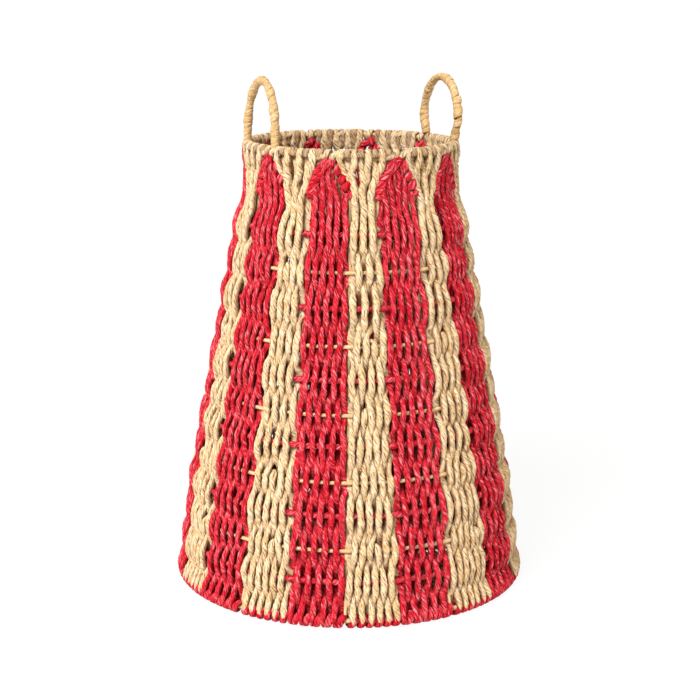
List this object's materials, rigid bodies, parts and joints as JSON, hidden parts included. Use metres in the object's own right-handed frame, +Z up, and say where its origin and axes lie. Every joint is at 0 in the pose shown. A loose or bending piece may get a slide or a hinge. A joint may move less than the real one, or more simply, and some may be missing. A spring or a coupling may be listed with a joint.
{
  "type": "storage basket",
  "caption": "Tall round storage basket of woven paper rope in upright red and natural stripes, wider at the foot, with two upright wrapped loop handles on the rim.",
  "frame": {"origin": "centre of the round foot, on the floor", "axes": "+Z up through the middle of the basket, +X towards the right handle, +Y towards the back"},
  "size_m": [0.3052, 0.3052, 0.4345],
  "materials": {
    "red_rope": "twisted paper rope, matt with a faint sheen",
    "natural_rope": "twisted paper rope, matt with a faint sheen",
    "red_wound_wire": "steel wire wound in red paper",
    "natural_wound_wire": "steel wire wound in natural paper",
    "handle_strip": "flat paper strip wound on the slant"
  },
  "bodies": {
    "root": {"base_binding": "red_rope", "bent_wire_01": "natural_wound_wire", "bent_wire_02": "natural_wound_wire", "bent_wire_03": "natural_wound_wire", "bent_wire_04": "natural_wound_wire", "bent_wire_05": "natural_wound_wire", "bent_wire_06": "natural_wound_wire", "bent_wire_07": "natural_wound_wire", "bent_wire_08": "natural_wound_wire", "bent_wire_09": "natural_wound_wire", "bent_wire_10": "natural_wound_wire", "bottom_ring": "natural_wound_wire", "floor_cross": "natural_wound_wire", "floor_weave": "natural_rope", "left_handle_wire": "natural_wound_wire", "left_handle_wrap": "handle_strip", "natural_hoop_01": "natural_wound_wire", "natural_hoop_02": "natural_wound_wire", "natural_hoop_03": "natural_wound_wire", "natural_hoop_04": "natural_wound_wire", "natural_hoop_05": "natural_wound_wire", "natural_stripe_01": "natural_rope", "natural_stripe_02": "natural_rope", "natural_stripe_03": "natural_rope", "natural_stripe_04": "natural_rope", "natural_stripe_05": "natural_rope", "natural_stripe_06": "natural_rope", "natural_stripe_07": "natural_rope", "natural_stripe_08": "natural_rope", "natural_stripe_09": "natural_rope", "natural_stripe_10": "natural_rope", "red_hoop_01": "red_wound_wire", "red_hoop_02": "red_wound_wire", "red_hoop_03": "red_wound_wire", "red_hoop_04": "red_wound_wire", "red_hoop_05": "red_wound_wire", "red_hoop_06": "red_wound_wire", "red_stripe_01": "red_rope", "red_stripe_02": "red_rope", "red_stripe_03": "red_rope", "red_stripe_04": "red_rope", "red_stripe_05": "red_rope", "red_stripe_06": "red_rope", "red_stripe_07": "red_rope", "red_stripe_08": "red_rope", "red_stripe_09": "red_rope", "red_stripe_10": "red_rope", "right_handle_wire": "natural_wound_wire", "right_handle_wrap": "handle_strip", "rim_binding": "natural_rope", "top_ring": "natural_wound_wire"}
  },
  "joints": []
}
